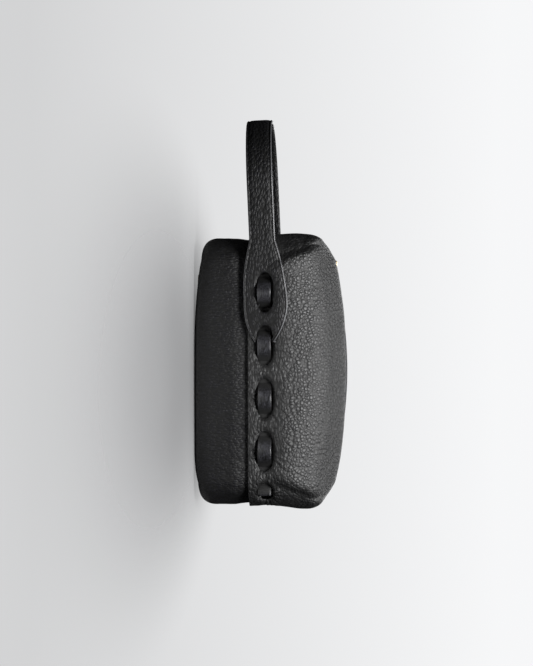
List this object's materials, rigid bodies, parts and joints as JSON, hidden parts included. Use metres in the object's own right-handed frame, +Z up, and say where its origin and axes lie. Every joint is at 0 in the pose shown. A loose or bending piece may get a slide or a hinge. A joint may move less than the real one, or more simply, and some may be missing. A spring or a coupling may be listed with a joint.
{
  "type": "makeup bag",
  "caption": "Boxy pebbled-leather makeup bag with a domed zip top that opens, a laced seam along each side, and a swinging leather carrying loop over one end.",
  "frame": {"origin": "middle of the flat base, on the surface that the bag stands on", "axes": "+Z up towards the zip, +X along the bag's length away from the carrying loop, -Y the front"},
  "size_m": [0.3043, 0.108, 0.1188],
  "materials": {
    "base_leather": "fine pebbled grain, satin",
    "upper_leather": "coarse pebbled grain, satin",
    "strap_leather": "pebbled grain with painted, polished edges",
    "lace_leather": "smooth, semi-gloss",
    "lining_fabric": "fine twill, matt",
    "zip_tape": "woven, matt",
    "zip_teeth": "dark, satin",
    "zip_metal": "pale gold, polished",
    "board": "matt",
    "thread": "twisted, satin",
    "strap_filler": "raw fibre"
  },
  "bodies": {
    "bag": {"base_shell": "base_leather", "base_board": "board", "lining": "lining_fabric", "upper_front": "upper_leather", "upper_rear": "upper_leather", "end_seam_tape_near_loop": "lining_fabric", "end_seam_tape_far": "lining_fabric", "handle_end_front": "strap_leather", "handle_end_rear": "strap_leather", "lace_front": "lace_leather", "lace_rear": "lace_leather", "zip_end_tape_near_loop": "zip_tape", "zip_end_tape_far": "zip_tape", "zip_end_teeth_near_loop": "zip_teeth", "zip_end_teeth_far": "zip_teeth", "top_stops": "zip_metal", "bottom_stop": "zip_metal"},
    "front_panel": {"front_flap": "upper_leather", "front_facing": "lining_fabric", "front_zip_tape": "zip_tape", "front_zip_teeth": "zip_teeth", "front_zip_stitching": "thread"},
    "rear_panel": {"rear_flap": "upper_leather", "rear_facing": "lining_fabric", "rear_zip_tape": "zip_tape", "rear_zip_teeth": "zip_teeth", "rear_zip_stitching": "thread"},
    "slider": {"slider_body": "zip_metal", "slider_crown": "zip_metal"},
    "pull": {"zip_pull": "zip_metal"},
    "loop": {"handle_outer": "strap_leather", "handle_core": "strap_filler", "handle_inner": "strap_leather"}
  },
  "joints": [
    {"name": "front_panel_fold", "type": "hinge", "parent": "bag", "child": "front_panel", "pos_m": [0, -0.029, 0.11063], "axis": [1, 0, 0], "range_deg": [0, 55]},
    {"name": "rear_panel_fold", "type": "hinge", "parent": "bag", "child": "rear_panel", "pos_m": [0, 0.029, 0.11063], "axis": [-1, 0, 0], "range_deg": [0, 55]},
    {"name": "slider_travel", "type": "hinge", "parent": "bag", "child": "slider", "pos_m": [0, 0, -0.1806], "axis": [0, 1, 0], "range_deg": [0, 33.72]},
    {"name": "pull_swing", "type": "hinge", "parent": "slider", "child": "pull", "pos_m": [-0.08477, 0, 0.10948], "axis": [0, -1, 0], "range_deg": [0, 175]},
    {"name": "loop_swing", "type": "hinge", "parent": "bag", "child": "loop", "pos_m": [-0.1, 0, 0.0538], "axis": [0, 1, 0], "range_deg": [-25, 45]}
  ]
}
